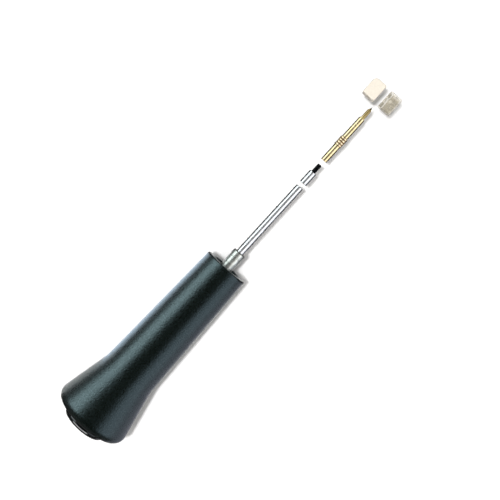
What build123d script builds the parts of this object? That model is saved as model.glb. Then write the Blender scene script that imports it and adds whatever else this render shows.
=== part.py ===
"""Hand-held tag detacher, laid out along its axis with its working end pulled apart.

A black one-piece grip carries a steel ferrule and a hollow shaft. A palm button in the flared end
of the grip drives a push rod through the shaft. The adapter, the brass bit and the two halves of
the working head stand in front of the shaft, in line with it, each a short way from where it seats.

Frame: the origin is on the tool axis, 55 mm behind the mouth of the grip, which is about the
middle of the grip. +X points along the axis to the working end, +Y is the side of the ivory
head half and +Z is up. Lengths are in millimetres.
"""

from build123d import *
from math import cos, radians, sin
import os

# ---- driving dimensions -------------------------------------------------------------------
FIT = 0.02  # radial play of a pressed or seated piece in its own hole
RUN = 0.07  # radial play of a piece that slides in its hole
UPWARD = (Align.CENTER, Align.CENTER, Align.MIN)

# grip, from its button end to its mouth
GRIP_FRONT = 55.0
GRIP_REAR = -57.9
MOUTH_EDGE_R = 12.8
TAPER_END_X = -23.7
TAPER_END_R = 15.6
FLARE_R = 23.1  # where the flare would meet the rear face with a sharp corner
FLARE_ROUND = 5.4
FLARE_BLEND = 24.0
MOUTH_ROUND = 1.0
MOUTH_BORE_R = 8.6
BODY_BORE_R = 7.6
BUSH_SEAT_X = 30.0
WEB_FRONT = -26.0
WEB_REAR = -30.0
CAP_STOP_X = -44.7
CAP_ROOM_R = 13.8
SPRING_ROOM_R = 10.2
MOUTH_CHAMFER = 0.4

# palm button and its rod
BEZEL_R = 15.4
BEZEL_BORE_R = 13.5
BEZEL_SEAT_X = -52.9
BEZEL_PROUD = 0.4
CAP_R = 13.2
CAP_SKIRT_X = -48.3
CAP_EDGE_X = -61.9
CAP_CROWN_X = -62.9
CAP_CORNER = 2.8
CAP_WALL = 1.7
CAP_ROOF_X = -59.4
CAP_BOSS_R = 5.5
CAP_BOSS_X = -49.4
PLUNGER_R = 3.0
PLUNGER_REAR = -58.9
PLUNGER_FRONT = 16.5
CLIP_X = -24.1
CLIP_THICK = 0.8
CLIP_GROOVE_R = 2.4
CLIP_R = 5.0
CLIP_MOUTH = (6.0, 3.6)  # depth and width of the opening
CLIP_RELIEF_R = 0.7
CLIP_RELIEF_AT_R = 3.2
GUIDE_BARREL_R = 4.5
GUIDE_FLANGE = 1.5
GUIDE_FLANGE_R = 8.8
GUIDE_FRONT = CLIP_X - 0.1
ROD_SCREW_X = 12.0
ROD_SCREW_R = 0.9
ROD_SCREW_SOCKET = (0.5, 0.8)  # corner radius and depth of its hexagon
ROD_R = 0.6
ROD_REAR = 4.5
ROD_FRONT = 113.3
SPRING_MEAN_R = 7.2
SPRING_WIRE_R = 0.6
SPRING_TURNS = 6

# mouth of the grip
BUSH_FRONT = 46.0
CIRCLIP_SLOT = 1.1  # width of its groove
CIRCLIP_THICK = 1.0
CIRCLIP_DEPTH = 0.5  # how far it stands in the grip
CIRCLIP_RIM = 0.9  # how far it stands into the bore
CIRCLIP_GAP = 3.4
EYE_R = 1.2
EYE_HOLE_R = 0.55
EYE_AT_R = 7.3
EYE_ANGLE = 19  # from the middle of the gap, in degrees
FERRULE_FRONT = 65.6
FERRULE_R = 3.75
FERRULE_FLANGE_R = 5.5
FLANGE_THICK = 2.0
FERRULE_GROOVES = (57.4, 62.0)
GROOVE_WIDTH = (0.7, 0.4)  # at the surface and at the bottom
GROOVE_DEPTH = 0.2
FERRULE_CHAMFER = 0.6
SHAFT_REAR = 22.0
SHAFT_FRONT = 113.4
SHAFT_R = 2.2
SHAFT_ROUND = 0.5
TAIL_PITCH = 0.7
TAIL_DEPTH = 0.25
NUT_FLATS = 7.0
NUT_THICK = 3.2
NUT_CORNER = 0.6  # how far its corners stand beyond its flats
WASHER_THICK = 1.0
WASHER_R = 4.6

# adapter and its stud
ADAPTER_REAR = 115.8
ADAPTER_FRONT = 123.9
MAGNET_LENGTH = 2.0
MAGNET_R = 1.7
STUD_REAR = 118.9
STUD_FRONT = 129.4
STUD_R = 1.3
STUD_PITCH = 0.5
STUD_DEPTH = 0.15
ADAPTER_ROUND = 0.3
PIN_ROOM_R = 0.85
PIN_ROOM_FRONT = 122.6
TRANSFER_R = 0.45
TRANSFER_HEAD_R = 0.75
TRANSFER_HEAD = 0.6
TRANSFER_REAR = ADAPTER_REAR + 0.1
TRANSFER_FRONT = STUD_FRONT - 0.4

# brass bit
BIT_REAR = 132.4
COLLAR_REAR = 143.1
BARREL_REAR = 149.0
NOSE_SHOULDER = 162.6
NOSE_BASE = 163.1
NOSE_FRONT = 169.1
POINT_FRONT = 170.8
SOCKET_R = 1.9
COLLAR_R = 2.27
COLLAR_RIBS = 4
RIB_DEPTH = 0.35
BARREL_R = 1.8
NOSE_R = 1.2
NOSE_TAIL_R = 1.0
NOSE_CONE = 1.0  # length of its coned front
RING_PITCH = 0.8
RING_DEPTH = 0.16
SPIGOT_R = 1.6
SPIGOT_FRONT = 151.0
BIT_CHAMBER_R = 1.2
BIT_CHAMBER_REAR = 139.1
NOSE_TAIL_REAR = 156.6
RELEASE_R = 0.6
RELEASE_HEAD = 0.8
RELEASE_POINT = 1.5
BIT_WIRE_R = 0.12
BIT_TURNS = 12

# working head, two halves either side of the axis
HEAD_REAR = 173.2
HEAD_FRONT = 183.8
HEAD_WIDTH = 7.9
HEAD_HEIGHT = 7.6
HEAD_GAP = 3.4  # between the halves as laid out
HEAD_EDGE = 0.6
IVORY_NOSE_ROUND = 2.6  # outer front corner of the ivory half
GREY_NOSE_ROUND = 1.1
HEAD_TAIL_ROUND = 1.0
HEAD_INNER_ROUNDS = (0.9, 0.7)  # front and rear corners beside the axis
NOSE_CHANNEL_R = 1.3
NOSE_CHANNEL_LENGTH = 6.6
POINT_CHANNEL_R = 0.75
HEAD_MAGNET_R = 0.9
HEAD_MAGNET_LENGTH = 1.6
HEAD_MAGNET_X = (HEAD_REAR + 2.0, HEAD_FRONT - 2.3)
HEAD_MAGNET_Z = (-2.5, 2.5)
GREY_WALL = 0.9
GREY_END_WALL = 1.0
GREY_INNER_WALL = 2.2  # it holds the magnets
COVER_THICK = 0.8
POST_R = 0.85
POST_AT = (HEAD_REAR + 5.8, -HEAD_GAP / 2 - 3.4)
COMB_PLAY = 0.3
COMB_BAR = 1.0
COMB_TEETH = tuple(HEAD_REAR + offset for offset in (4.2, 5.8, 7.4))
TOOTH = (0.8, 2.4)  # thickness, and how far in it reaches from the pocket's outer wall


# ---- helpers ------------------------------------------------------------------------------
def rounded(outline, corners):
    """Rounds corners of a flat outline, each given as ((x, y), radius)."""
    for (x, y), radius in corners:
        corner = outline.vertices().sort_by_distance((x, y, 0))[0]
        outline = fillet(corner, radius)
    return outline


def turned(*points, corners=()):
    """Solid of revolution about the tool axis from a closed outline of (x, radius) points."""
    outline = make_face(Polyline(*points, close=True))
    return revolve(rounded(outline, corners), Axis.X)


def tube(rear, front, outer, bore, chamfer_length=0.0):
    """Straight sleeve on the tool axis, its outer edges chamfered."""
    c = chamfer_length
    if not c:
        return turned((rear, bore), (rear, outer), (front, outer), (front, bore))
    return turned(
        (rear, bore),
        (rear, outer - c),
        (rear + c, outer),
        (front - c, outer),
        (front, outer - c),
        (front, bore),
    )


def across(x):
    """Plane square to the tool axis at x, facing the working end."""
    return Plane(origin=(x, 0, 0), x_dir=(0, 1, 0), z_dir=(1, 0, 0))


def threaded(rear, front, crest, depth, pitch):
    """(x, radius) points of ring-shaped thread crests from rear to front."""
    count = int((front - rear) / pitch)
    step = (front - rear) / count
    points = []
    for n in range(count):
        x = rear + n * step
        points.append((x, crest - depth))
        points.append((x + 0.35 * step, crest))
        points.append((x + 0.65 * step, crest))
    points.append((front, crest - depth))
    return points


def coil(rear, front, mean_r, wire_r, turns):
    """Compression spring between two faces on the tool axis."""
    start = rear + wire_r + FIT
    height = front - rear - 2 * (wire_r + FIT)
    path = Helix(height / turns, height, mean_r, center=(start, 0, 0), direction=(1, 0, 0))
    profile = Plane(origin=path @ 0, z_dir=path % 0) * Circle(wire_r)
    return sweep(profile, path=path, is_frenet=True)


# ---- grip ---------------------------------------------------------------------------------
def handle_grip():
    slot = BUSH_FRONT + CIRCLIP_SLOT
    slot_r = MOUTH_BORE_R + CIRCLIP_DEPTH
    return turned(
        (GRIP_REAR, BEZEL_R + FIT),
        (GRIP_REAR, FLARE_R),
        (TAPER_END_X, TAPER_END_R),
        (GRIP_FRONT, MOUTH_EDGE_R),
        (GRIP_FRONT, MOUTH_BORE_R + MOUTH_CHAMFER),
        (GRIP_FRONT - MOUTH_CHAMFER, MOUTH_BORE_R),
        (slot, MOUTH_BORE_R),
        (slot, slot_r),
        (BUSH_FRONT, slot_r),
        (BUSH_FRONT, MOUTH_BORE_R),
        (BUSH_SEAT_X, MOUTH_BORE_R),
        (BUSH_SEAT_X, BODY_BORE_R),
        (WEB_FRONT, BODY_BORE_R),
        (WEB_FRONT, GUIDE_BARREL_R + FIT),
        (WEB_REAR, GUIDE_BARREL_R + FIT),
        (WEB_REAR, SPRING_ROOM_R),
        (CAP_STOP_X, SPRING_ROOM_R),
        (CAP_STOP_X, CAP_ROOM_R),
        (BEZEL_SEAT_X, CAP_ROOM_R),
        (BEZEL_SEAT_X, BEZEL_R + FIT),
        corners=(
            ((GRIP_REAR, FLARE_R), FLARE_ROUND),
            ((TAPER_END_X, TAPER_END_R), FLARE_BLEND),
            ((GRIP_FRONT, MOUTH_EDGE_R), MOUTH_ROUND),
        ),
    )


def button_bezel():
    rear = GRIP_REAR - BEZEL_PROUD
    return turned(
        (BEZEL_SEAT_X, BEZEL_BORE_R),
        (BEZEL_SEAT_X, BEZEL_R),
        (rear, BEZEL_R),
        (rear, BEZEL_BORE_R),
        corners=(((rear, BEZEL_R), 0.35), ((rear, BEZEL_BORE_R), 0.5)),
    )


# ---- palm button --------------------------------------------------------------------------
def button_cap():
    """Domed cap with a skirt that runs in the bezel and a boss that grips the plunger."""
    bore = PLUNGER_R + FIT
    crown = TangentArc((CAP_CROWN_X, 0), (CAP_EDGE_X, CAP_R), tangent=(0, 1))
    inside = Polyline(
        (CAP_EDGE_X, CAP_R),
        (CAP_SKIRT_X, CAP_R),
        (CAP_SKIRT_X, CAP_R - CAP_WALL),
        (CAP_ROOF_X, CAP_R - CAP_WALL),
        (CAP_ROOF_X, CAP_BOSS_R),
        (CAP_BOSS_X, CAP_BOSS_R),
        (CAP_BOSS_X, bore),
        (PLUNGER_REAR, bore),
        (PLUNGER_REAR, 0),
        (CAP_CROWN_X, 0),
    )
    outline = rounded(make_face(crown + inside), [((CAP_EDGE_X, CAP_R), CAP_CORNER)])
    return revolve(outline, Axis.X)


def plunger():
    screw = Plane(origin=(ROD_SCREW_X, 0, 0)) * Cylinder(ROD_SCREW_R + FIT, 4, align=UPWARD)
    body = turned(
        (PLUNGER_REAR, 0),
        (PLUNGER_REAR, PLUNGER_R),
        (CLIP_X, PLUNGER_R),
        (CLIP_X, CLIP_GROOVE_R),
        (CLIP_X + CLIP_THICK, CLIP_GROOVE_R),
        (CLIP_X + CLIP_THICK, PLUNGER_R),
        (PLUNGER_FRONT - 0.5, PLUNGER_R),
        (PLUNGER_FRONT, PLUNGER_R - 0.5),
        (PLUNGER_FRONT, ROD_R + FIT),
        (ROD_REAR, ROD_R + FIT),
        (ROD_REAR, 0),
    )
    return body - screw


def rod_screw():
    """Socket screw that holds the push rod in the plunger."""
    low = ROD_R + FIT
    length = PLUNGER_R - 0.1 - low
    screw = Pos(ROD_SCREW_X, 0, low) * Cylinder(ROD_SCREW_R, length, align=UPWARD)
    corner_r, depth = ROD_SCREW_SOCKET
    socket = extrude(Pos(ROD_SCREW_X, 0, low + length - depth) * RegularPolygon(corner_r, 6), depth)
    return screw - socket


def push_rod():
    return turned(
        (ROD_REAR, 0),
        (ROD_REAR, ROD_R),
        (ROD_FRONT - 0.15, ROD_R),
        (ROD_FRONT, ROD_R - 0.15),
        (ROD_FRONT, 0),
    )


def stop_clip():
    """Open clip on the plunger that stops the button at its outer position."""
    middle = CLIP_X + CLIP_THICK / 2
    depth, width = CLIP_MOUTH
    ring = tube(CLIP_X, CLIP_X + CLIP_THICK, CLIP_R, CLIP_GROOVE_R + FIT)
    mouth = Pos(middle, -1.0 - depth / 2, 0) * Box(2 * CLIP_THICK, depth, width)
    for angle in (radians(35), radians(145)):
        at = (middle, CLIP_RELIEF_AT_R * cos(angle), CLIP_RELIEF_AT_R * sin(angle))
        ring -= Pos(at) * Rot(Y=90) * Cylinder(CLIP_RELIEF_R, 2 * CLIP_THICK)
    return ring - mouth


def plunger_guide():
    """Flanged bronze bush in the web of the grip; the return spring stands on its flange."""
    bore = PLUNGER_R + RUN
    return turned(
        (WEB_REAR - GUIDE_FLANGE, bore),
        (WEB_REAR - GUIDE_FLANGE, GUIDE_FLANGE_R),
        (WEB_REAR, GUIDE_FLANGE_R),
        (WEB_REAR, GUIDE_BARREL_R),
        (GUIDE_FRONT, GUIDE_BARREL_R),
        (GUIDE_FRONT, bore),
    )


def return_spring():
    return coil(CAP_ROOF_X, WEB_REAR - GUIDE_FLANGE, SPRING_MEAN_R, SPRING_WIRE_R, SPRING_TURNS)


# ---- mouth and shaft ----------------------------------------------------------------------
def nose_bush():
    """Bush at the bottom of the mouth, with a pocket for the ferrule's flange."""
    pocket = FERRULE_FLANGE_R + FIT
    return turned(
        (BUSH_SEAT_X, SHAFT_R + FIT),
        (BUSH_SEAT_X, MOUTH_BORE_R - FIT),
        (BUSH_FRONT, MOUTH_BORE_R - FIT),
        (BUSH_FRONT, pocket),
        (BUSH_FRONT - FLANGE_THICK, pocket),
        (BUSH_FRONT - FLANGE_THICK, SHAFT_R + FIT),
    )


def bush_circlip():
    """Internal retaining ring in front of the bush, with two eyes for pliers."""
    middle = BUSH_FRONT + CIRCLIP_SLOT / 2
    rear = middle - CIRCLIP_THICK / 2
    outer = MOUTH_BORE_R + CIRCLIP_DEPTH - FIT
    ring = tube(rear, rear + CIRCLIP_THICK, outer, MOUTH_BORE_R - CIRCLIP_RIM)
    ring -= Pos(middle, -MOUTH_BORE_R, 0) * Box(2 * CIRCLIP_THICK, 5, CIRCLIP_GAP)
    for side in (-1, 1):
        angle = radians(side * EYE_ANGLE)
        at = Pos(middle, -EYE_AT_R * cos(angle), EYE_AT_R * sin(angle)) * Rot(Y=90)
        ring += at * Cylinder(EYE_R, CIRCLIP_THICK)
        ring -= at * Cylinder(EYE_HOLE_R, 2 * CIRCLIP_THICK)
    return ring


def ferrule():
    bore = SHAFT_R + FIT
    rear = BUSH_FRONT - FLANGE_THICK
    outline = [
        (rear, bore),
        (rear, FERRULE_FLANGE_R),
        (BUSH_FRONT, FERRULE_FLANGE_R),
        (BUSH_FRONT, FERRULE_R),
    ]
    top, bottom = (width / 2 for width in GROOVE_WIDTH)
    for x in FERRULE_GROOVES:
        outline += [(x - top, FERRULE_R), (x - bottom, FERRULE_R - GROOVE_DEPTH)]
        outline += [(x + bottom, FERRULE_R - GROOVE_DEPTH), (x + top, FERRULE_R)]
    outline += [
        (FERRULE_FRONT - FERRULE_CHAMFER, FERRULE_R),
        (FERRULE_FRONT, FERRULE_R - FERRULE_CHAMFER),
        (FERRULE_FRONT, bore),
    ]
    return turned(*outline)


def shaft():
    """Hollow steel shaft: threaded tail for the lock nut, rounded front end."""
    washer_rear = BUSH_SEAT_X - WASHER_THICK
    tail = threaded(SHAFT_REAR + 0.4, washer_rear, SHAFT_R, TAIL_DEPTH, TAIL_PITCH)
    front = (SHAFT_FRONT, SHAFT_R)
    return turned(
        (SHAFT_REAR, ROD_R + RUN),
        (SHAFT_REAR, SHAFT_R - 0.5),
        *tail,
        (washer_rear + 0.1, SHAFT_R),
        front,
        (SHAFT_FRONT, ROD_R + RUN),
        corners=((front, SHAFT_ROUND),),
    )


def shaft_nut():
    rear = BUSH_SEAT_X - WASHER_THICK - NUT_THICK
    blank = extrude(across(rear) * RegularPolygon(NUT_FLATS / 2, 6, major_radius=False), NUT_THICK)
    cone = turned(
        (rear, 0),
        (rear, NUT_FLATS / 2),
        (rear + 0.35, NUT_FLATS / 2 + NUT_CORNER),
        (rear + NUT_THICK, NUT_FLATS / 2 + NUT_CORNER),
        (rear + NUT_THICK, 0),
    )
    return (blank & cone) - tube(rear - 1, rear + NUT_THICK + 1, SHAFT_R + FIT, 0)


def shaft_washer():
    return tube(BUSH_SEAT_X - WASHER_THICK, BUSH_SEAT_X, WASHER_R, SHAFT_R + FIT, 0.1)


# ---- adapter ------------------------------------------------------------------------------
def adapter_sleeve():
    """Steel sleeve with a magnet pocket behind and a threaded hole for the stud in front."""
    pocket_end = ADAPTER_REAR + MAGNET_LENGTH
    rear = (ADAPTER_REAR, SHAFT_R)
    front = (ADAPTER_FRONT, SHAFT_R)
    return turned(
        (ADAPTER_REAR, MAGNET_R + FIT),
        rear,
        front,
        (ADAPTER_FRONT, STUD_R + FIT),
        (pocket_end, STUD_R + FIT),
        (pocket_end, MAGNET_R + FIT),
        corners=((rear, ADAPTER_ROUND), (front, ADAPTER_ROUND)),
    )


def adapter_magnet():
    return tube(ADAPTER_REAR, ADAPTER_REAR + MAGNET_LENGTH, MAGNET_R, ROD_R + RUN, 0.1)


def adapter_stud():
    """Hollow black stud, threaded where it stands out of the sleeve."""
    bore = TRANSFER_R + RUN
    thread = threaded(ADAPTER_FRONT + 0.3, STUD_FRONT - 0.3, STUD_R, STUD_DEPTH, STUD_PITCH)
    return turned(
        (STUD_REAR, PIN_ROOM_R),
        (STUD_REAR, STUD_R),
        (ADAPTER_FRONT + 0.2, STUD_R),
        *thread,
        (STUD_FRONT, STUD_R - 0.35),
        (STUD_FRONT, bore),
        (PIN_ROOM_FRONT, bore),
        (PIN_ROOM_FRONT, PIN_ROOM_R),
    )


def transfer_pin():
    """Pin that carries the stroke through the adapter, held captive by its small head."""
    head = ADAPTER_REAR + MAGNET_LENGTH + 0.1
    return turned(
        (TRANSFER_REAR, 0),
        (TRANSFER_REAR, TRANSFER_R),
        (head, TRANSFER_R),
        (head, TRANSFER_HEAD_R),
        (head + TRANSFER_HEAD, TRANSFER_HEAD_R),
        (head + TRANSFER_HEAD, TRANSFER_R),
        (TRANSFER_FRONT, TRANSFER_R),
        (TRANSFER_FRONT, 0),
    )


# ---- brass bit ----------------------------------------------------------------------------
def bit_socket():
    """Rear of the bit: threaded socket for the stud, and a spigot that carries the collar."""
    socket_end = BIT_CHAMBER_REAR - 1.0
    rear = (BIT_REAR, SOCKET_R)
    return turned(
        (BIT_REAR, STUD_R + 0.15),
        rear,
        (COLLAR_REAR, SOCKET_R),
        (COLLAR_REAR, SPIGOT_R),
        (SPIGOT_FRONT, SPIGOT_R),
        (SPIGOT_FRONT, BIT_CHAMBER_R),
        (BIT_CHAMBER_REAR, BIT_CHAMBER_R),
        (BIT_CHAMBER_REAR, TRANSFER_R + RUN),
        (socket_end, TRANSFER_R + RUN),
        (socket_end, STUD_R + RUN),
        (BIT_REAR + 0.3, STUD_R + RUN),
        corners=((rear, 0.2),),
    )


def bit_collar():
    """Ribbed ring pressed on the spigot: half-round ribs side by side."""
    pitch = (BARREL_REAR - COLLAR_REAR) / COLLAR_RIBS
    valley = COLLAR_R - RIB_DEPTH
    edges = Line((COLLAR_REAR, SPIGOT_R + FIT), (COLLAR_REAR, valley))
    for n in range(COLLAR_RIBS):
        start = COLLAR_REAR + n * pitch
        edges += ThreePointArc(
            (start, valley), (start + pitch / 2, COLLAR_R), (start + pitch, valley)
        )
    edges += Polyline(
        (BARREL_REAR, valley), (BARREL_REAR, SPIGOT_R + FIT), (COLLAR_REAR, SPIGOT_R + FIT)
    )
    return revolve(make_face(edges), Axis.X)


def bit_barrel():
    front = (NOSE_SHOULDER, BARREL_R)
    return turned(
        (BARREL_REAR, SPIGOT_R + FIT),
        (BARREL_REAR, BARREL_R),
        front,
        (NOSE_SHOULDER, NOSE_TAIL_R + FIT),
        (NOSE_TAIL_REAR, NOSE_TAIL_R + FIT),
        (NOSE_TAIL_REAR, BIT_CHAMBER_R),
        (SPIGOT_FRONT + FIT, BIT_CHAMBER_R),
        (SPIGOT_FRONT + FIT, SPIGOT_R + FIT),
        corners=((front, 0.25),),
    )


def bit_nose():
    """Ringed nose screwed into the barrel; the release pin slides in it."""
    bore = RELEASE_R + RUN
    rings = threaded(NOSE_BASE, NOSE_FRONT - NOSE_CONE - 0.3, NOSE_R, RING_DEPTH, RING_PITCH)
    return turned(
        (NOSE_TAIL_REAR, bore),
        (NOSE_TAIL_REAR, NOSE_TAIL_R),
        (NOSE_SHOULDER, NOSE_TAIL_R),
        (NOSE_SHOULDER, NOSE_R + 0.2),
        (NOSE_BASE - 0.1, NOSE_R + 0.2),
        *rings,
        (NOSE_FRONT - NOSE_CONE, NOSE_R),
        (NOSE_FRONT, bore + 0.12),
        (NOSE_FRONT, bore),
    )


def release_pin():
    """Sprung pin inside the bit, with a head behind its spring and a cone at its tip."""
    rear = TRANSFER_FRONT + (BIT_REAR - ADAPTER_FRONT) + 0.2
    head = BIT_CHAMBER_REAR + 0.1
    return turned(
        (rear, 0),
        (rear, TRANSFER_R),
        (head, TRANSFER_R),
        (head, BIT_CHAMBER_R - RUN),
        (head + RELEASE_HEAD, BIT_CHAMBER_R - RUN),
        (head + RELEASE_HEAD, RELEASE_R),
        (POINT_FRONT - RELEASE_POINT, RELEASE_R),
        (POINT_FRONT, 0.05),
        (POINT_FRONT, 0),
    )


def bit_spring():
    rear = BIT_CHAMBER_REAR + 0.1 + RELEASE_HEAD
    return coil(rear, NOSE_TAIL_REAR, RELEASE_R + 0.3, BIT_WIRE_R, BIT_TURNS)


# ---- working head -------------------------------------------------------------------------
def head_half(side):
    """Solid block on one side of the axis: side is +1 for the ivory half, -1 for the grey one."""
    low = HEAD_GAP / 2
    high = low + HEAD_WIDTH
    outline = make_face(
        Polyline(
            (HEAD_REAR, side * low),
            (HEAD_FRONT, side * low),
            (HEAD_FRONT, side * high),
            (HEAD_REAR, side * high),
            close=True,
        )
    )
    front_round, rear_round = HEAD_INNER_ROUNDS
    outline = rounded(
        outline,
        (
            ((HEAD_FRONT, side * high), IVORY_NOSE_ROUND if side > 0 else GREY_NOSE_ROUND),
            ((HEAD_REAR, side * high), HEAD_TAIL_ROUND),
            ((HEAD_FRONT, side * low), front_round),
            ((HEAD_REAR, side * low), rear_round),
        ),
    )
    block = extrude(Pos(0, 0, -HEAD_HEIGHT / 2) * outline, HEAD_HEIGHT)
    rims = block.faces().sort_by(Axis.Z)
    block = fillet(rims[0].edges() + rims[-1].edges(), HEAD_EDGE)
    face = Plane(origin=(HEAD_REAR, side * low, 0), x_dir=(0, 1, 0), z_dir=(1, 0, 0))
    nose_room = face * Cylinder(NOSE_CHANNEL_R, NOSE_CHANNEL_LENGTH, align=UPWARD)
    point_room = face * Cylinder(POINT_CHANNEL_R, HEAD_FRONT - HEAD_REAR + 1, align=UPWARD)
    return block - nose_room - point_room - head_magnets(side, FIT)


def head_magnets(side, play=0.0):
    """Four disc magnets let into the face where the two halves meet."""
    discs = []
    face_y = side * HEAD_GAP / 2
    toward = Rot(X=-90 * side)
    for x in HEAD_MAGNET_X:
        for z in HEAD_MAGNET_Z:
            disc = Cylinder(HEAD_MAGNET_R + play, HEAD_MAGNET_LENGTH + play, align=UPWARD)
            discs.append(Pos(x, face_y, z) * toward * disc)
    return Compound(children=discs)


def grey_room():
    """Pocket in the grey half, open below: (low corner, high corner)."""
    outer = HEAD_GAP / 2 + HEAD_WIDTH
    inner = HEAD_GAP / 2 + GREY_INNER_WALL
    low = (HEAD_REAR + GREY_END_WALL, -outer + GREY_WALL, -HEAD_HEIGHT / 2)
    high = (HEAD_FRONT - GREY_END_WALL, -inner, HEAD_HEIGHT / 2 - GREY_WALL)
    return low, high


def block_between(low, high):
    """Box from its low corner to its high corner."""
    size = [b - a for a, b in zip(low, high)]
    return Pos(*low) * Box(*size, align=(Align.MIN, Align.MIN, Align.MIN))


def head_grey_case():
    low, high = grey_room()
    below = (low[0], low[1], low[2] - 1)
    return head_half(-1) - block_between(below, high)


def head_grey_cover():
    low, high = grey_room()
    low = (low[0] + FIT, low[1] + FIT, low[2])
    high = (high[0] - FIT, high[1] - FIT, low[2] + COVER_THICK)
    return block_between(low, high)


def head_grey_post():
    """White post that stands on the cover and carries the comb."""
    low, high = grey_room()
    foot = low[2] + COVER_THICK
    return Pos(*POST_AT, foot) * Cylinder(POST_R, high[2] - foot, align=UPWARD)


def head_grey_comb():
    """Slotted keeper in the pocket of the grey half: a bar with upright teeth."""
    low, high = grey_room()
    floor = low[2] + COVER_THICK
    thick, reach = TOOTH
    bar = block_between(
        (low[0] + COMB_PLAY, low[1] + COMB_PLAY, floor),
        (high[0] - COMB_PLAY, high[1] - COMB_PLAY, floor + COMB_BAR),
    )
    for x in COMB_TEETH:
        bar += block_between(
            (x - thick / 2, low[1] + COMB_PLAY, floor), (x + thick / 2, low[1] + reach, high[2] - 0.4)
        )
    return bar - Pos(*POST_AT, floor - 1) * Cylinder(POST_R + FIT, 4, align=UPWARD)


# ---- the pieces ----------------------------------------------------------------------------
NODES = {
    "handle_grip": handle_grip,
    "button_bezel": button_bezel,
    "plunger_guide": plunger_guide,
    "nose_bush": nose_bush,
    "bush_circlip": bush_circlip,
    "ferrule": ferrule,
    "shaft": shaft,
    "shaft_nut": shaft_nut,
    "shaft_washer": shaft_washer,
    "return_spring": return_spring,
    "button_cap": button_cap,
    "plunger": plunger,
    "rod_screw": rod_screw,
    "push_rod": push_rod,
    "stop_clip": stop_clip,
    "adapter_sleeve": adapter_sleeve,
    "adapter_magnet": adapter_magnet,
    "adapter_stud": adapter_stud,
    "transfer_pin": transfer_pin,
    "bit_socket": bit_socket,
    "bit_collar": bit_collar,
    "bit_barrel": bit_barrel,
    "bit_nose": bit_nose,
    "bit_spring": bit_spring,
    "release_pin": release_pin,
    "head_ivory": lambda: head_half(1),
    "head_ivory_magnets": lambda: head_magnets(1),
    "head_grey_case": head_grey_case,
    "head_grey_magnets": lambda: head_magnets(-1),
    "head_grey_cover": head_grey_cover,
    "head_grey_post": head_grey_post,
    "head_grey_comb": head_grey_comb,
}

os.makedirs("parts", exist_ok=True)
for name, make in NODES.items():
    export_step(make(), f"parts/{name}.step")
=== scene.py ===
"""Looks of the hand-held tag detacher: materials, springs, floor, studio light and camera.

Lengths are in metres, in the frame of the CAD model: +X along the tool to its working end, +Y to the
ivory head half, +Z up.
"""

from math import cos, pi, radians, sin, tan

import bpy
from mathutils import Matrix, Vector

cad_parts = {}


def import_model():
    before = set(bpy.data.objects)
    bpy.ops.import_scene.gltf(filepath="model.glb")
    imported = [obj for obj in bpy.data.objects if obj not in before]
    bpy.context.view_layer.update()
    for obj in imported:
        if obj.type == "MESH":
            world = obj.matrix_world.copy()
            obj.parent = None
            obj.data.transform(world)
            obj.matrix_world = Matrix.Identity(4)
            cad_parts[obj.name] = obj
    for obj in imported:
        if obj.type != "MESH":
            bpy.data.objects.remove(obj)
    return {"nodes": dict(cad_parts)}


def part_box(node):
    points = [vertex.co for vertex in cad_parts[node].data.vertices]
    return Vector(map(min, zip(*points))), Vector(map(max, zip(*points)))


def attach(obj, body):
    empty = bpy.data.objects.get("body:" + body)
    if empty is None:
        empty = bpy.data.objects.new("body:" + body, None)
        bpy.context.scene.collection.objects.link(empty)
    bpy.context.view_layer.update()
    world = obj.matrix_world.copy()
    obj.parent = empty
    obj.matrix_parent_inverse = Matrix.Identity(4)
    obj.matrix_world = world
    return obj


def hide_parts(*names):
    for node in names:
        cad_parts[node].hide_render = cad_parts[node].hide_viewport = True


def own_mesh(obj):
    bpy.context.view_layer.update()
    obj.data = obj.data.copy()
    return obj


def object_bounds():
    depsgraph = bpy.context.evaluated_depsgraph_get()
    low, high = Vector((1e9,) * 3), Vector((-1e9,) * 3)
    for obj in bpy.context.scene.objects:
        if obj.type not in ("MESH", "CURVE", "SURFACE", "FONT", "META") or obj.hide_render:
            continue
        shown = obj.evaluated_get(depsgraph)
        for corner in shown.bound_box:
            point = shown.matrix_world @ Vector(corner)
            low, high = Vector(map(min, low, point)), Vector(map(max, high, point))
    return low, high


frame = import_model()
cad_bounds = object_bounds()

NODES = frame["nodes"]
scene = bpy.context.scene


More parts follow.
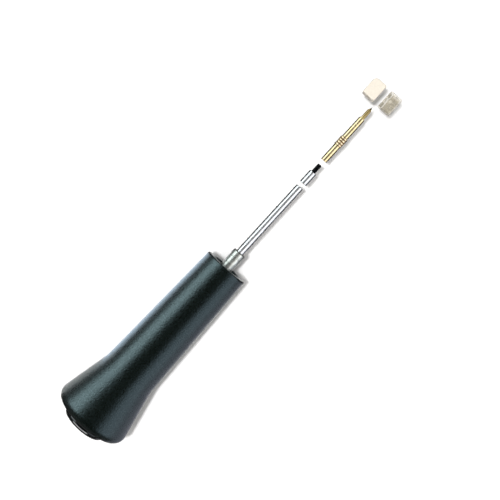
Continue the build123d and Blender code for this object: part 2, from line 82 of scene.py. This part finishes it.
# ---- node helpers -------------------------------------------------------------------------
class Shader:
    """A node material under construction: a Principled shader plus the nodes that feed it."""

    def __init__(self, name, **settings):
        self.material = bpy.data.materials.new(name)
        self.material.use_nodes = True
        self.tree = self.material.node_tree
        self.bsdf = next(n for n in self.tree.nodes if n.type == "BSDF_PRINCIPLED")
        for socket, value in settings.items():
            self.bsdf.inputs[socket.replace("_", " ")].default_value = value
        place = self.tree.nodes.new("ShaderNodeTexCoord")
        self.place = place.outputs["Object"]

    def add(self, kind, **inputs):
        """New shader node of a kind, with its inputs linked or set."""
        node = self.tree.nodes.new("ShaderNode" + kind)
        for socket, value in inputs.items():
            self.feed(node.inputs[socket.replace("_", " ")], value)
        return node

    def feed(self, socket, value):
        """Links a node's output to the socket, or sets the socket to a constant."""
        if isinstance(value, bpy.types.NodeSocket):
            self.tree.links.new(value, socket)
        else:
            socket.default_value = value

    def stretched(self, scale):
        """Object coordinates scaled by a different amount along each axis."""
        return self.add("Mapping", Vector=self.place, Scale=scale).outputs["Vector"]

    def noise(self, scale, detail=3.0, roughness=0.55, vector=None):
        node = self.add(
            "TexNoise", Vector=vector or self.place, Scale=scale, Detail=detail, Roughness=roughness
        )
        return node.outputs["Fac"]

    def ramp(self, factor, *stops):
        """Colour ramp with (position, colour) stops; a plain number is a grey."""
        node = self.add("ValToRGB", Fac=factor)
        ramp = node.color_ramp
        while len(ramp.elements) < len(stops):
            ramp.elements.new(0.5)
        for element, (position, colour) in zip(ramp.elements, stops):
            element.position = position
            grey = isinstance(colour, (int, float))
            element.color = (colour, colour, colour, 1) if grey else (*colour, 1)
        return node.outputs["Color"]

    def bump(self, height, strength, distance, normal=None):
        """Normal roughened by height, on top of another normal if one is given."""
        node = self.add("Bump", Height=height, Strength=strength, Distance=distance)
        if normal:
            self.feed(node.inputs["Normal"], normal)
        return node.outputs["Normal"]

    def set(self, **inputs):
        """Feeds inputs of the Principled shader."""
        for socket, value in inputs.items():
            self.feed(self.bsdf.inputs[socket.replace("_", " ")], value)


def dress(material, *nodes):
    """Gives CAD nodes their material."""
    for name in nodes:
        mesh = NODES[name].data
        mesh.materials.clear()
        mesh.materials.append(material)


# ---- materials ----------------------------------------------------------------------------
# Grain sizes are noise scales, in cells per metre, and relief is the depth of a bump in metres.
GRIP_GRAIN = 1250.0
GRIP_FINE_GRAIN = 4200.0
GRIP_CLOUDS = 60.0
GRIP_RELIEF = 0.00013
GRIP_FINE_RELIEF = 0.00001
SPECKS = 900.0
SPECK_RELIEF = 0.00003
TURNED_GRAIN = 1500.0
RELIEF = 0.00002
THREAD_PITCH = 0.0008
THREAD_START = 0.0005  # from the front of the barrel
COLLAR_RINGS = 4


def black_grip():
    """Black moulded plastic with a fine spark-eroded grain that mottles its highlights."""
    s = Shader("black_grip", Specular_IOR_Level=1.0, Specular_Tint=(0.72, 0.95, 1.0, 1))
    grain = s.noise(GRIP_GRAIN, 2.0, 0.6)
    fine = s.noise(GRIP_FINE_GRAIN, 1.0)
    cloud = s.noise(GRIP_CLOUDS, 3.0)
    s.set(Base_Color=s.ramp(cloud, (0.3, (0.001, 0.0018, 0.001)), (0.75, (0.0018, 0.003, 0.0018))))
    s.set(Roughness=s.ramp(grain, (0.37, 0.245), (0.63, 0.39)))
    fine_relief = s.bump(fine, 0.5, GRIP_FINE_RELIEF)
    s.set(Normal=s.bump(grain, 1.0, GRIP_RELIEF, fine_relief))
    return s.material


def metal(name, dark, light, roughness, scale=(400, 400, 400), bump=0.1):
    """Metal with marks as fine as scale along each axis, darker and smoother in places."""
    s = Shader(name, Metallic=1.0, Roughness=roughness)
    marks = s.noise(1.0, 3.0, vector=s.stretched(scale))
    s.set(Base_Color=s.ramp(marks, (0.3, dark), (0.7, light)))
    s.set(Roughness=s.ramp(marks, (0.25, roughness * 0.7), (0.75, roughness * 1.4)))
    s.set(Normal=s.bump(marks, bump, RELIEF))
    return s.material


def plastic(name, colour, roughness, grain=1500.0, bump=0.1):
    """Plastic of one colour with a faint grain."""
    s = Shader(name, Roughness=roughness)
    marks = s.noise(grain, 2.0)
    shade = tuple(c * 0.88 for c in colour)
    s.set(Base_Color=s.ramp(marks, (0.3, shade), (0.7, colour)))
    s.set(Roughness=s.ramp(marks, (0.25, roughness * 0.8), (0.75, roughness * 1.2)))
    s.set(Normal=s.bump(marks, bump, RELIEF))
    return s.material


def clear_plastic():
    """Smoky, slightly cloudy plastic with specks, through which the parts inside can be made out."""
    s = Shader("grey_clear_plastic", Roughness=0.3, Alpha=0.34)
    specks = s.noise(SPECKS, 2.0, 0.7)
    shades = ((0.30, (0.16, 0.13, 0.09)), (0.42, (0.56, 0.52, 0.42)), (0.7, (0.72, 0.67, 0.55)))
    s.set(Base_Color=s.ramp(specks, *shades))
    s.set(Normal=s.bump(specks, 0.3, SPECK_RELIEF))
    return s.material


def groove_shaded_metal(name, dark, light, roughness, start, pitch):
    """Turned metal with painted shade: dark rings stand for the shade in its grooves, the first at start and
    then one every pitch along X.
    """
    s = Shader(name, Metallic=1.0)
    split = s.add("SeparateXYZ", Vector=s.place)
    turns = s.add("Math")
    turns.operation = "MULTIPLY_ADD"
    s.feed(turns.inputs[0], split.outputs["X"])
    turns.inputs[1].default_value = 2 * pi / pitch
    turns.inputs[2].default_value = -2 * pi * start / pitch
    wave = s.add("Math")
    wave.operation = "COSINE"
    s.feed(wave.inputs[0], turns.outputs["Value"])
    height = s.add("MapRange", Value=wave.outputs["Value"], From_Min=-1.0, From_Max=1.0)
    s.set(Base_Color=s.ramp(height.outputs["Result"], (0.45, light), (0.95, dark)))
    s.set(Roughness=s.ramp(s.noise(TURNED_GRAIN), (0.3, roughness * 0.8), (0.7, roughness * 1.2)))
    return s.material


dress(black_grip(), "handle_grip")
dress(plastic("black_gloss", (0.004, 0.0045, 0.005), 0.09), "button_cap", "button_bezel")
dress(plastic("black_acetal", (0.02, 0.02, 0.02), 0.5), "nose_bush")
dress(metal("bronze", (0.3, 0.17, 0.08), (0.5, 0.3, 0.15), 0.5), "plunger_guide")
spring_steel = metal("spring_steel", (0.3, 0.3, 0.3), (0.5, 0.5, 0.5), 0.3)
dress(spring_steel, "bush_circlip", "stop_clip")
nickel_steel = metal("nickel_steel", (0.34, 0.35, 0.32), (0.66, 0.67, 0.63), 0.32, (1500, 1500, 1500), 0.5)
dress(nickel_steel, "ferrule")
dress(metal("polished_steel", (0.6, 0.6, 0.61), (0.72, 0.72, 0.73), 0.26), "shaft", "adapter_sleeve")
dress(metal("zinc_steel", (0.5, 0.5, 0.5), (0.65, 0.66, 0.68), 0.35), "shaft_nut", "shaft_washer")
dress(metal("ground_steel", (0.5, 0.5, 0.5), (0.6, 0.6, 0.6), 0.25), "plunger", "push_rod", "transfer_pin")
dress(metal("black_oxide", (0.02, 0.02, 0.022), (0.04, 0.04, 0.04), 0.45), "rod_screw", "adapter_stud")
magnet = metal("magnet_plate", (0.4, 0.4, 0.4), (0.55, 0.55, 0.55), 0.2)
dress(magnet, "adapter_magnet", "head_ivory_magnets", "head_grey_magnets")
brass = metal("brass", (0.64, 0.49, 0.25), (0.8, 0.66, 0.4), 0.22, (900, 200, 200), 0.03)
dress(brass, "bit_socket", "bit_barrel")
# Painted shade: the nose's dark rings stand for the shade in its thread grooves.
nose_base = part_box("bit_barrel")[1].x + THREAD_START
brass_nose = groove_shaded_metal("brass_nose", (0.28, 0.18, 0.05), (0.84, 0.64, 0.30), 0.3, nose_base, THREAD_PITCH)
dress(brass_nose, "bit_nose")
# Painted shade: the collar's dark rings stand for the shade in the grooves between its ribs.
collar_rear, collar_front = (corner.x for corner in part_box("bit_collar"))
ring_pitch = (collar_front - collar_rear) / COLLAR_RINGS
brass_collar = groove_shaded_metal(
    "brass_collar", (0.42, 0.26, 0.10), (0.88, 0.70, 0.46), 0.42, collar_rear, ring_pitch
)
dress(brass_collar, "bit_collar")
dress(metal("dark_steel", (0.05, 0.035, 0.015), (0.12, 0.09, 0.04), 0.35), "release_pin")
dress(plastic("ivory_plastic", (0.74, 0.685, 0.59), 0.45), "head_ivory")
dress(clear_plastic(), "head_grey_case")
dress(plastic("grey_plastic", (0.42, 0.38, 0.29), 0.4), "head_grey_cover")
dress(plastic("white_plastic", (0.8, 0.76, 0.66), 0.4), "head_grey_post")
dress(plastic("olive_plastic", (0.15, 0.125, 0.07), 0.4), "head_grey_comb")


def coil(name, node, body):
    """A copy of the rigid spring in spring steel, carried by its body in place of the rigid one."""
    rigid = NODES[node]
    spring = bpy.data.objects.new(name, rigid.data.copy())
    scene.collection.objects.link(spring)
    spring.matrix_world = rigid.matrix_world.copy()
    spring.data.materials.clear()
    spring.data.materials.append(spring_steel)
    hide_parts(node)
    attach(spring, body)
    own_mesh(spring)


coil("return_coil", "return_spring", "handle")
coil("bit_coil", "bit_spring", "bit")


# ---- stage --------------------------------------------------------------------------------
FLOOR_SIZE = 8.0
FLOOR_Z = cad_bounds[0][2]
STAGE_GREY = (0.9, 0.9, 0.9, 1)
WALL_SIDES = 96
CARD_LIFT = 0.0005
MIDDLE = 0.06  # x of the middle of the tool, where the lights are aimed


def hide_from(piece, *rays):
    """Makes a piece invisible to some kinds of light ray."""
    for ray in rays:
        setattr(piece, "visible_" + ray, False)


def floor():
    """White table that the tool lies on."""
    bpy.ops.mesh.primitive_plane_add(size=FLOOR_SIZE, location=(MIDDLE, 0, FLOOR_Z))
    plane = bpy.context.object
    plane.name = "floor"
    s = Shader("floor", Base_Color=STAGE_GREY, Roughness=0.95, Specular_IOR_Level=0.1)
    plane.data.materials.append(s.material)


# Each card's name, its x range, its y range, its colour and how strongly it glows. The dark and grey cards
# paint shade into the tool's reflections of the floor, and card_grip_glow paints a bright bluish rim
# reflection along the grip's left edge.
CARDS = (
    ("card_rear", (-0.60, -0.072), (-0.60, 0.60), (0.04, 0.04, 0.04), 0),
    ("card_grip_left", (-0.10, 0.057), (0.085, 0.60), (0.05, 0.05, 0.05), 0),
    ("card_grip_glow", (-0.03, 0.053), (0.016, 0.066), (0.72, 0.85, 1.0), 1.25),
    ("card_grip_right", (-0.10, 0.057), (-0.60, -0.028), (0.38, 0.38, 0.44), 0),
    ("card_tip_left", (0.057, 0.25), (0.015, 0.60), (0.04, 0.04, 0.04), 0),
    ("card_tip_right", (0.057, 0.25), (-0.60, -0.015), (0.04, 0.04, 0.04), 0),
    ("card_near_left", (0.068, 0.25), (0.004, 0.015), (0.04, 0.04, 0.04), 0),
    ("card_near_right", (0.068, 0.25), (-0.015, -0.004), (0.04, 0.04, 0.04), 0),
)


def card(name, x_range, y_range, colour, glow):
    """Card laid beside the tool, seen only in the tool's reflections, where it paints a shaded or glowing
    reflection.
    """
    around = zip(sorted(2 * x_range), y_range + y_range[::-1])
    corners = [(x, y, FLOOR_Z + CARD_LIFT) for x, y in around]
    mesh = bpy.data.meshes.new(name)
    mesh.from_pydata(corners, [], [(0, 1, 2, 3)])
    sheet = bpy.data.objects.new(name, mesh)
    scene.collection.objects.link(sheet)
    s = Shader(name, Base_Color=(*colour, 1), Roughness=0.9, Specular_IOR_Level=0.1)
    s.set(Emission_Color=(*colour, 1), Emission_Strength=glow)
    mesh.materials.append(s.material)
    hide_from(sheet, "camera", "diffuse", "transmission", "shadow", "volume_scatter")


def backdrop():
    """Pale wall all round, seen only by the camera when it looks along the floor."""
    bpy.ops.mesh.primitive_cylinder_add(
        radius=FLOOR_SIZE / 2, depth=FLOOR_SIZE, end_fill_type="NOTHING", vertices=WALL_SIDES,
        location=(MIDDLE, 0, 0),
    )
    wall = bpy.context.object
    wall.name = "backdrop"
    s = Shader("backdrop", Base_Color=(0, 0, 0, 1), Roughness=1.0, Specular_IOR_Level=0)
    s.set(Emission_Color=STAGE_GREY, Emission_Strength=1.0)
    wall.data.materials.append(s.material)
    hide_from(wall, "glossy", "diffuse", "transmission", "shadow", "volume_scatter")


# ---- light --------------------------------------------------------------------------------
BRIGHT_METAL = (
    "ferrule", "shaft", "adapter_sleeve", "bit_socket", "bit_collar", "bit_barrel", "bit_nose", "release_pin"
)
WORLD_SHADES = ((0.02, 0.08), (0.5, 0.015))  # (height, brightness) of the room, from the horizon up
WORLD_TINT = (0.94, 0.98, 1.0)
SOFTBOX_DISTANCE = 0.9
SOFTBOX_X = (-0.6, 1.1)
REAR_X = (-0.5, 0.5)
REAR_PLACE = (-0.75, 0, 0.32)


def softbox(name, angle, spread, x_range, radiance, colour=(1, 1, 1)):
    """Long panel beside the tool, angle degrees from overhead towards +Y and spread degrees wide."""
    data = bpy.data.lights.new(name, "AREA")
    data.shape = "RECTANGLE"
    data.size = x_range[1] - x_range[0]
    data.size_y = 2 * SOFTBOX_DISTANCE * tan(radians(spread) / 2)
    data.energy = radiance * pi * data.size * data.size_y
    data.color = colour
    light = bpy.data.objects.new(name, data)
    a = radians(angle)
    light.location = (sum(x_range) / 2, SOFTBOX_DISTANCE * sin(a), SOFTBOX_DISTANCE * cos(a))
    light.rotation_euler = (-a, 0, 0)
    hide_from(light, "camera", "diffuse")
    scene.collection.objects.link(light)
    return light


def shine_on(light, *nodes):
    """Limits a light to some CAD nodes."""
    lit = bpy.data.collections.new(light.name)
    for name in nodes:
        lit.objects.link(NODES[name])
    light.light_linking.receiver_collection = lit


def lamp(name, place, size, power, colour=(1, 1, 1)):
    """Lamp above the tool that only lights matt surfaces, so that it throws shadows without a glint."""
    data = bpy.data.lights.new(name, "AREA")
    data.shape = "DISK"
    data.size = size
    data.energy = power
    data.color = colour
    light = bpy.data.objects.new(name, data)
    light.location = (MIDDLE + place[0], place[1], place[2])
    light.rotation_euler = Vector(place).to_track_quat("Z", "Y").to_euler()
    hide_from(light, "glossy", "camera")
    scene.collection.objects.link(light)


def world():
    """Dim room: dark overhead, paler towards the horizon."""
    studio = bpy.data.worlds.new("studio")
    studio.use_nodes = True
    nodes, links = studio.node_tree.nodes, studio.node_tree.links
    place = nodes.new("ShaderNodeTexCoord")
    split = nodes.new("ShaderNodeSeparateXYZ")
    ramp = nodes.new("ShaderNodeValToRGB")
    for element, (height, shade) in zip(ramp.color_ramp.elements, WORLD_SHADES):
        element.position = height
        element.color = (*(shade * tint for tint in WORLD_TINT), 1)
    links.new(place.outputs["Generated"], split.inputs["Vector"])
    links.new(split.outputs["Z"], ramp.inputs["Fac"])
    links.new(ramp.outputs["Color"], nodes["Background"].inputs["Color"])
    scene.world = studio


def lights():
    """The room, four long softboxes, a panel behind the button, and two lamps for matt surfaces."""
    world()
    softbox("softbox_left", 54, 40, SOFTBOX_X, 2.8, (0.88, 0.98, 1.0))
    softbox("softbox_right", -67, 46, SOFTBOX_X, 1.05, (0.84, 0.90, 1.0))
    shine_on(softbox("softbox_metal", -46, 44, SOFTBOX_X, 1.5), *BRIGHT_METAL)
    shine_on(softbox("softbox_over", 0, 40, SOFTBOX_X, 0.28), *BRIGHT_METAL)
    rear = softbox("softbox_rear", 0, 14, REAR_X, 11.0)
    rear.location = REAR_PLACE
    rear.rotation_euler = Vector(REAR_PLACE).to_track_quat("Z", "Y").to_euler()
    shine_on(rear, "button_cap", "button_bezel")
    lamp("key", (-0.045, 0.125, 1.4), 0.11, 15.0)
    lamp("fill", (0.0, 0.0, 1.5), 1.6, 19.0, (1.0, 0.98, 0.96))


# ---- camera -------------------------------------------------------------------------------
FOCAL = 1.9  # focal length as a multiple of the picture's width
SENSOR = 36.0
AIM = Vector((0.0702, -0.0031, 0))  # the point at the middle of the picture
DISTANCE = 0.513
ROLL = 47.6  # direction of the tool's axis in the picture, above the horizontal
TILT = 2.5  # degrees that the camera leans towards the working end
CLIP_START = 0.01


def camera():
    """Camera nearly overhead, turned so that the tool points to the upper right."""
    data = bpy.data.cameras.new("camera")
    data.sensor_width = SENSOR
    data.lens = FOCAL * SENSOR
    data.clip_start = CLIP_START
    eye = bpy.data.objects.new("camera", data)
    tilt, roll = radians(TILT), radians(ROLL)
    back = Vector((sin(tilt), 0, cos(tilt)))
    along = Vector((cos(tilt), 0, -sin(tilt)))
    across = Vector((0, 1, 0))
    right = along * cos(roll) - across * sin(roll)
    up = along * sin(roll) + across * cos(roll)
    pose = Matrix((right, up, back)).transposed().to_4x4()
    pose.translation = AIM + back * DISTANCE
    eye.matrix_world = pose
    scene.collection.objects.link(eye)
    scene.camera = eye


floor()
backdrop()
for row in CARDS:
    card(*row)
lights()
camera()
scene.view_settings.view_transform = "Standard"
